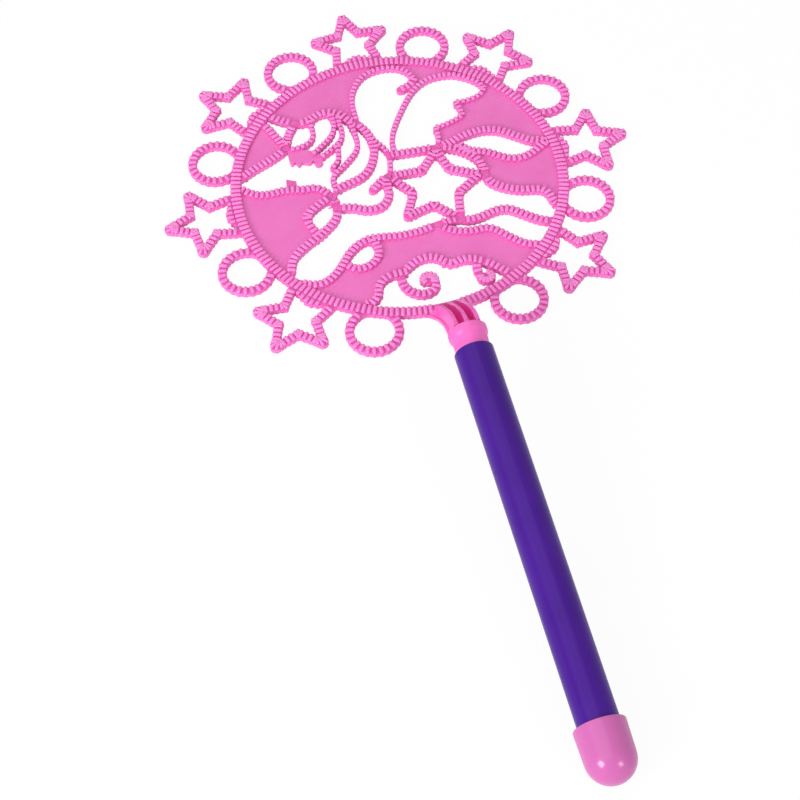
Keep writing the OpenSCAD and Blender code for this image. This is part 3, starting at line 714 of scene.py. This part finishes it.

# %% [markdown]
# ## The head's bars
#
# Rim, loops, stars and the figure's strands are all ribbed bars. Each gets a piece of its own,
# named after its CAD node, though in the real wand they are one moulding.

# %% Lay all the bars
head_nodes = frame["record"]["behaviour"]["bodies"]["head"]
neck_nodes = [n for n in head_nodes if n.startswith("neck")]
panel_nodes = [n for n in head_nodes if n.startswith("panel")]
bar_nodes = [n for n in head_nodes if n not in neck_nodes + panel_nodes + ["collar", "spigot"]]
for node in bar_nodes:
    corners, own_ribs = [], []
    if node.startswith("star"):
        corners, own_ribs = star_fans(int(node[-1]))
    elif node == "cloud":
        corners, own_ribs = CURLS, CURL_RIBS
    elif node == "rim":
        own_ribs = [last_rib]
    bars = ribbed_bars(node, BAR_PINK, own_ribs, corners)
    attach(bars, "head")
    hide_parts(node)
print("bars laid:", len(bar_nodes))

# %% [markdown]
# ## Panels
#
# Between the figure and the rim lie thin webs, halfway up the bars. They could be made again as the
# bars are, but their CAD solids are already right. So they stay and only take the paler pink of a
# thin wall.

# %% Dress the panels
def dress(node, material):
    mesh = frame["nodes"][node].data
    mesh.materials.clear()
    mesh.materials.append(material)


for node in panel_nodes:
    dress(node, PANEL_PINK)
print("panels dressed:", len(panel_nodes))

# %% [markdown]
# ## Turned parts
#
# The tube, the collar with its spigot, and the end cap are all round about the handle's axis. The
# Screw modifier could turn them, but it needs an empty object laid along that axis first. So each
# is a profile carried round the axis row by row. A profile is a list of distances along the axis
# and radii. Rounded lips come from a few more points, because a real edge always catches a thin
# line of light.

# %% Carry a profile round the handle's axis
TURNS = 128
ON_AXIS = 1e-7
SIDEWAYS = Vector((1, 0, 0))
UPWARDS = SIDEWAYS.cross(HANDLE_AXIS)


def arc(centre, radius, first, last, steps):
    """Profile points on a circle about a point of the axis, angles in degrees from the axis."""
    angles = [math.radians(first + (last - first) * i / steps) for i in range(steps + 1)]
    return [(centre + radius * math.cos(a), radius * math.sin(a)) for a in angles]


def turned_part(name, profile, ring, material):
    """A closed skin: a ring profile closes on itself, any other starts and ends on the axis."""
    shape = bmesh.new()
    rows = []
    for along, radius in profile:
        spot = MOUTH + along * HANDLE_AXIS
        if radius < ON_AXIS:
            rows.append([shape.verts.new(spot)])
            continue
        angles = [2 * math.pi * k / TURNS for k in range(TURNS)]
        rows.append([shape.verts.new(spot + radius * (math.cos(a) * SIDEWAYS + math.sin(a) * UPWARDS))
                     for a in angles])
    for one, two in zip(rows, rows[1:] + (rows[:1] if ring else [])):
        for k in range(TURNS):
            m = (k + 1) % TURNS
            corners = [one[k % len(one)], one[m % len(one)], two[m % len(two)], two[k % len(two)]]
            shape.faces.new(list(dict.fromkeys(corners)))
    bmesh.ops.recalc_face_normals(shape, faces=shape.faces)
    mesh = bpy.data.meshes.new(name)
    shape.to_mesh(mesh)
    shape.free()
    mesh.materials.append(material)
    piece = new_object(name, mesh)
    shade(piece)
    print(name, "faces", len(mesh.polygons))
    return piece


print("a turn has", TURNS, "steps")

# %% [markdown]
# The handle is a plain extruded tube, cut square at both ends. Rows along its length keep its long
# faces from stretching the shading.

# %% The tube
TUBE_R = 9.8 * MM
TUBE_IN_R = 8.55 * MM
TUBE_END = -207 * MM
TUBE_ROWS = 24
LIP = 0.3 * MM
tube_profile = [(TUBE_END, TUBE_IN_R + LIP), (TUBE_END, TUBE_R - LIP), (TUBE_END + LIP, TUBE_R)]
tube_profile += [(TUBE_END * (1 - i / TUBE_ROWS), TUBE_R) for i in range(1, TUBE_ROWS)]
tube_profile += [(-LIP, TUBE_R), (-0.3 * LIP, TUBE_R - 0.3 * LIP), (0, TUBE_R - LIP), (0, TUBE_IN_R + LIP),
                 (-0.3 * LIP, TUBE_IN_R + 0.3 * LIP), (-LIP, TUBE_IN_R), (TUBE_END + LIP, TUBE_IN_R)]
tube = turned_part("tube_body", tube_profile, True, TUBE_PURPLE)
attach(tube, "handle")
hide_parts("handle_tube")

# %% [markdown]
# The collar stops the tube and swells softly from the spigot below it, up to a crisp ring. The
# spigot is hollow and goes 18 mm into the tube. Both are one profile, as they are one moulding.

# %% The collar and its spigot
COLLAR_TOP = 12 * MM
SPIGOT_R = 8.5 * MM
SPIGOT_IN_R = SPIGOT_R - 2 * MM
SPIGOT_END = -18 * MM
SPIGOT_EDGE = 0.4 * MM
collar_profile = [(5 * MM, 0), (5 * MM, SPIGOT_IN_R), (SPIGOT_END, SPIGOT_IN_R),
                  (SPIGOT_END, SPIGOT_R - SPIGOT_EDGE), (SPIGOT_END + SPIGOT_EDGE, SPIGOT_R)]
collar_profile += [(s * MM, r * MM) for s, r in (
    (0, 8.5), (0.6, 8.54), (3, 8.66), (6.2, 8.84), (6.8, 8.95), (7.4, 9.22), (8.1, 9.56), (8.6, 9.73),
    (9.0, 9.79), (9.4, 9.8), (11.5, 9.8), (11.7, 9.8), (11.85, 9.76), (11.96, 9.66), (12, 9.5), (12, 9.3))]
collar_profile.append((COLLAR_TOP, 0))
collar = turned_part("collar_and_spigot", collar_profile, False, NECK_PINK)
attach(collar, "head")
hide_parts("collar", "spigot")

# %% [markdown]
# The end cap is a thin shell: a rim a little wider than the tube, a skirt that hardly tapers, and
# a round dome. Outside and inside are one profile, so the wall has its thickness from the start.

# %% The end cap
CAP_MOUTH = -193 * MM
DOME_R, DOME_IN_R = 11.8 * MM, 8.55 * MM
dome_centre = CAP_MOUTH - 15.2 * MM
cap_profile = arc(dome_centre, DOME_R, 180, 90, 16)
cap_profile += [(dome_centre + 4 * MM, 11.91 * MM), (dome_centre + 9 * MM, 12.04 * MM)]
cap_profile += [(CAP_MOUTH + s * MM, r * MM) for s, r in (
    (-0.7, 12.18), (-0.3, 12.14), (-0.08, 12.0), (0, 11.75), (0, 10.3), (-0.15, 10.0), (-0.5, 9.86),
    (-14, 9.85), (-14, 8.55))]
cap_profile += arc(dome_centre, DOME_IN_R, 90, 180, 12)
cap = turned_part("domed_cap", cap_profile, False, CAP_PINK)
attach(cap, "cap")
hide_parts("end_cap")

# %% [markdown]
# ## The neck
#
# Three upright ribs on a web climb from the rim to the collar. Their outer flanks slope out to the
# web's edge, and the web flares where it meets the rim. It could be put together from blocks, but
# the blends between them would show. Cut across anywhere, the neck shows the same outline with
# other heights, so it is lofted: one outline for each step along the neck.

# %% The neck's climb
NECK_START_Y = HEAD_Y - RIM_OUT
NECK_END = MOUTH + COLLAR_TOP * HANDLE_AXIS
web_climb = [(-0.10, 0.10), (0, 0.12), (0.08, 0.15), (0.16, 0.23), (0.30, 0.40), (0.52, 0.63),
             (0.68, 0.77), (0.84, 0.86), (1, 0.90)]
crown_climb = [(-0.14, 0.14), (0, 0.32), (0.17, 0.52), (0.33, 0.715), (0.50, 0.90), (0.62, 1.02),
               (0.72, 1.105), (0.82, 1.17), (0.92, 1.215), (1, 1.23)]


def smooth_curve(points, steps=6):
    """A smooth line through all the points, by the Catmull-Rom rule."""
    made = []
    ends = [points[0]] + points + [points[-1]]
    for a, b, c, d in zip(ends, ends[1:], ends[2:], ends[3:]):
        for k in range(steps):
            t = k / steps
            made.append(tuple((2 * q + (r - p) * t + (2 * p - 5 * q + 4 * r - s) * t * t
                               + (3 * q - p - 3 * r + s) * t ** 3) / 2 for p, q, r, s in zip(a, b, c, d)))
    return made + [points[-1]]


def climb_height(curve, share):
    """The height of a climb's curve at a share of the run, straight between its points."""
    for (a, low), (b, high) in zip(curve, curve[1:]):
        if share <= b:
            return (low + (high - low) * (share - a) / (b - a)) * NECK_END.z
    return curve[-1][1] * NECK_END.z


web_curve, crown_curve = smooth_curve(web_climb), smooth_curve(crown_climb)
print("the neck climbs to", round(climb_height(crown_curve, 1) / MM, 1), "mm")

# %% [markdown]
# One outline across the neck has the web's edge, the sloping flank and three ribs with flat crests.
# The real ribs leave the rim a little off the middle and come back to it at the collar.

# %% Outlines across the neck
NECK_GAP = 5.5 * MM
WEB_HALF = 8.5 * MM
FLARE_R = 5 * MM
ASKEW = 1.3 * MM
CREST = [(1.0, 0.24), (0.93, 0.07), (0.76, 0), (0, 0), (-0.76, 0), (-0.93, 0.07), (-1.0, 0.24)]


def askew(share):
    """How far off the middle the ribs are at a share of the run."""
    return ASKEW * (1 - min(max(share, 0), 1))


def along_neck(share):
    return NECK_START_Y + share * (NECK_END.y - NECK_START_Y)


def neck_outline(share):
    """One cross outline: web, sloping flanks, and three ribs with flat crests."""
    y = along_neck(share)
    low, high = climb_height(web_curve, share), climb_height(crown_curve, share)
    into_flare = (y - (NECK_START_Y - FLARE_R)) / FLARE_R
    edge = WEB_HALF
    if into_flare > 0:
        edge += FLARE_R * (1 - math.sqrt(max(0.0, 1 - min(into_flare, 1) ** 2)))
    right = [(edge - 0.3 * MM, low - 2.4 * MM), (edge, low - 2.1 * MM), (edge, low - 0.15 * MM),
             (edge - 0.12 * MM, low), (edge - 1.3 * MM, low + 0.1 * MM),
             (NECK_GAP + 1.2 * MM, high - 1.0 * MM)]
    right += [(NECK_GAP + x * MM, high - z * MM) for x, z in CREST]
    right += [(NECK_GAP - 1.1 * MM, low + 0.4 * MM), (NECK_GAP - 1.5 * MM, low),
              (1.5 * MM, low), (1.1 * MM, low + 0.4 * MM)]
    right += [(x * MM, high - z * MM) for x, z in CREST[:3]]
    outline = right + [(0, high)] + [(-x, z) for x, z in reversed(right)]
    return [Vector((x + askew(share), y, z)) for x, z in outline]


print("points in an outline across the neck:", len(neck_outline(0.5)))

# %% [markdown]
# The loft joins the outlines point by point. The sides of the two slots take a deeper pink of their
# own, because light bounces about in there and comes out redder. The three ribs' toes reach in over
# the rim, and each is a small loft too.

# %% Loft the neck
SLOT_SIDES = (12, 13, 14, 15, 16, 23, 24, 25, 26, 27)
NECK_FIRST, NECK_STEPS = 0.012, 48
TOE_FIRST, TOE_RUN, TOE_STEPS = -0.138, 0.16, 12
TOE_HALF, TOE_BOTTOM = 1.04, 3 * MM


def loft(shape, outlines, slots=()):
    """Joins closed outlines of the same number of points; slots says which sides are deep ones."""
    rows = [[shape.verts.new(p) for p in outline] for outline in outlines]
    for one, two in zip(rows, rows[1:]):
        for k in range(len(one)):
            m = (k + 1) % len(one)
            shape.faces.new([one[k], one[m], two[m], two[k]]).material_index = int(k in slots)
    shape.faces.new(rows[0])
    shape.faces.new(list(reversed(rows[-1])))


def toe_outline(x, share):
    """One cross outline of the toe that lies at x from the middle."""
    high = max(climb_height(crown_curve, share), CORE_TOP + 0.1 * MM)
    across = [(TOE_HALF, None)] + CREST + [(-TOE_HALF, None)]
    return [Vector((x + askew(share) + dx * MM, along_neck(share),
                    TOE_BOTTOM if dz is None else high - 0.02 * MM - dz * MM)) for dx, dz in across]


neck_shape = bmesh.new()
neck_shares = [NECK_FIRST + (1.0 - NECK_FIRST) * i / NECK_STEPS for i in range(NECK_STEPS + 1)]
loft(neck_shape, [neck_outline(share) for share in neck_shares], SLOT_SIDES)
toe_shares = [TOE_FIRST + TOE_RUN * i / TOE_STEPS for i in range(TOE_STEPS + 1)]
for x in (-NECK_GAP, 0, NECK_GAP):
    loft(neck_shape, [toe_outline(x, share) for share in toe_shares])
bmesh.ops.recalc_face_normals(neck_shape, faces=neck_shape.faces)
neck_mesh = bpy.data.meshes.new("neck_moulding")
neck_shape.to_mesh(neck_mesh)
neck_shape.free()
neck_mesh.materials.append(NECK_PINK)
neck_mesh.materials.append(SLOT_PINK)
neck = new_object("neck_moulding", neck_mesh)
shade(neck, 40)
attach(neck, "head")
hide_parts(*neck_nodes)
print("neck faces", len(neck.data.polygons))

# %% [markdown]
# ## Floor, background and light
#
# The photograph has a pure white ground and very soft light. A brighter lamp would whiten the floor
# too, but it would bleach the wand. So the floor glows for the camera alone and keeps a faint
# shadow, and the world is white to the camera and in reflections, and dimmer as a light.

# %% Floor and world
FLOOR_GLOW = 0.94
FLOOR_WHITE = (0.97, 0.97, 0.97, 1)
AMBIENT = 0.5


def white_floor():
    bpy.ops.mesh.primitive_plane_add(size=12, location=(0, 0, -0.02 * MM))
    floor = bpy.context.object
    floor.name = "studio_floor"
    material = bpy.data.materials.new("studio_white")
    material.use_nodes = True
    tree = material.node_tree
    tree.nodes.clear()
    kit = Kit(tree)
    lit = kit.node("ShaderNodeBsdfDiffuse", None, {"Color": FLOOR_WHITE})
    glow = kit.node("ShaderNodeEmission", None, {"Color": (1, 1, 1, 1), "Strength": 1.0})
    seen = kit.node("ShaderNodeLightPath", out="Is Camera Ray")
    both = kit.node("ShaderNodeMixShader", None, {0: seen * FLOOR_GLOW, 1: lit, 2: glow})
    tree.links.new(both.socket, tree.nodes.new("ShaderNodeOutputMaterial").inputs[0])
    floor.data.materials.append(material)
    floor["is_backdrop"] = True


white_floor()
world = bpy.data.worlds.new("studio_world")
world.use_nodes = True
bpy.context.scene.world = world
world_kit = Kit(world.node_tree)
light_path = world_kit.node("ShaderNodeLightPath").socket.node
seen_world = world_kit.node("ShaderNodeMath", {"operation": "MAXIMUM"}, {
    0: Value(world_kit, light_path.outputs["Is Camera Ray"]),
    1: Value(world_kit, light_path.outputs["Is Glossy Ray"])})
seen_world = world_kit.node("ShaderNodeMath", {"operation": "MAXIMUM"}, {
    0: seen_world, 1: Value(world_kit, light_path.outputs["Is Transmission Ray"])})
background = world.node_tree.nodes["Background"]
background.inputs["Color"].default_value = (1, 1, 1, 1)
world_kit.tree.links.new((AMBIENT + (1 - AMBIENT) * seen_world).socket, background.inputs["Strength"])
print("floor and world ready, ambient", AMBIENT)

# %% [markdown]
# The dome of the cap mirrors two lamps as two soft glints, which says where they stood: a stronger
# one at the left and a weaker one at the right. A third, large one stands overhead.

# %% Lamps
def soft_lamp(name, place, aim, size, watts):
    """A square lamp at place that shines at aim. All lamps are plain white."""
    data = bpy.data.lights.new(name, "AREA")
    data.size, data.energy = size, watts
    lamp = bpy.data.objects.new(name, data)
    backwards = Vector(place) - Vector(aim)
    lamp.matrix_world = Matrix.Translation(place) @ backwards.to_track_quat("Z", "Y").to_matrix().to_4x4()
    bpy.context.scene.collection.objects.link(lamp)


soft_lamp("overhead", (-0.9, 0.3, 1.9), (0, 0, 0), 2.5, 15)
soft_lamp("softbox_left", (-1.316, -0.826, 0.724), (0, -0.1, 0), 0.6, 17)
soft_lamp("softbox_right", (0.695, -1.419, 0.847), (0, -0.1, 0), 0.5, 6)
bpy.context.scene.view_settings.view_transform = "Standard"

# %% [markdown]
# ## Sizes, once more
#
# The dressed wand has to fill the same box as the CAD model. Both boxes are printed.

# %% Print both sizes
shown_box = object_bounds()
for name, box in (("cad", cad_box), ("shown", shown_box)):
    print(name, [[round(v, 4) for v in c] for c in box])
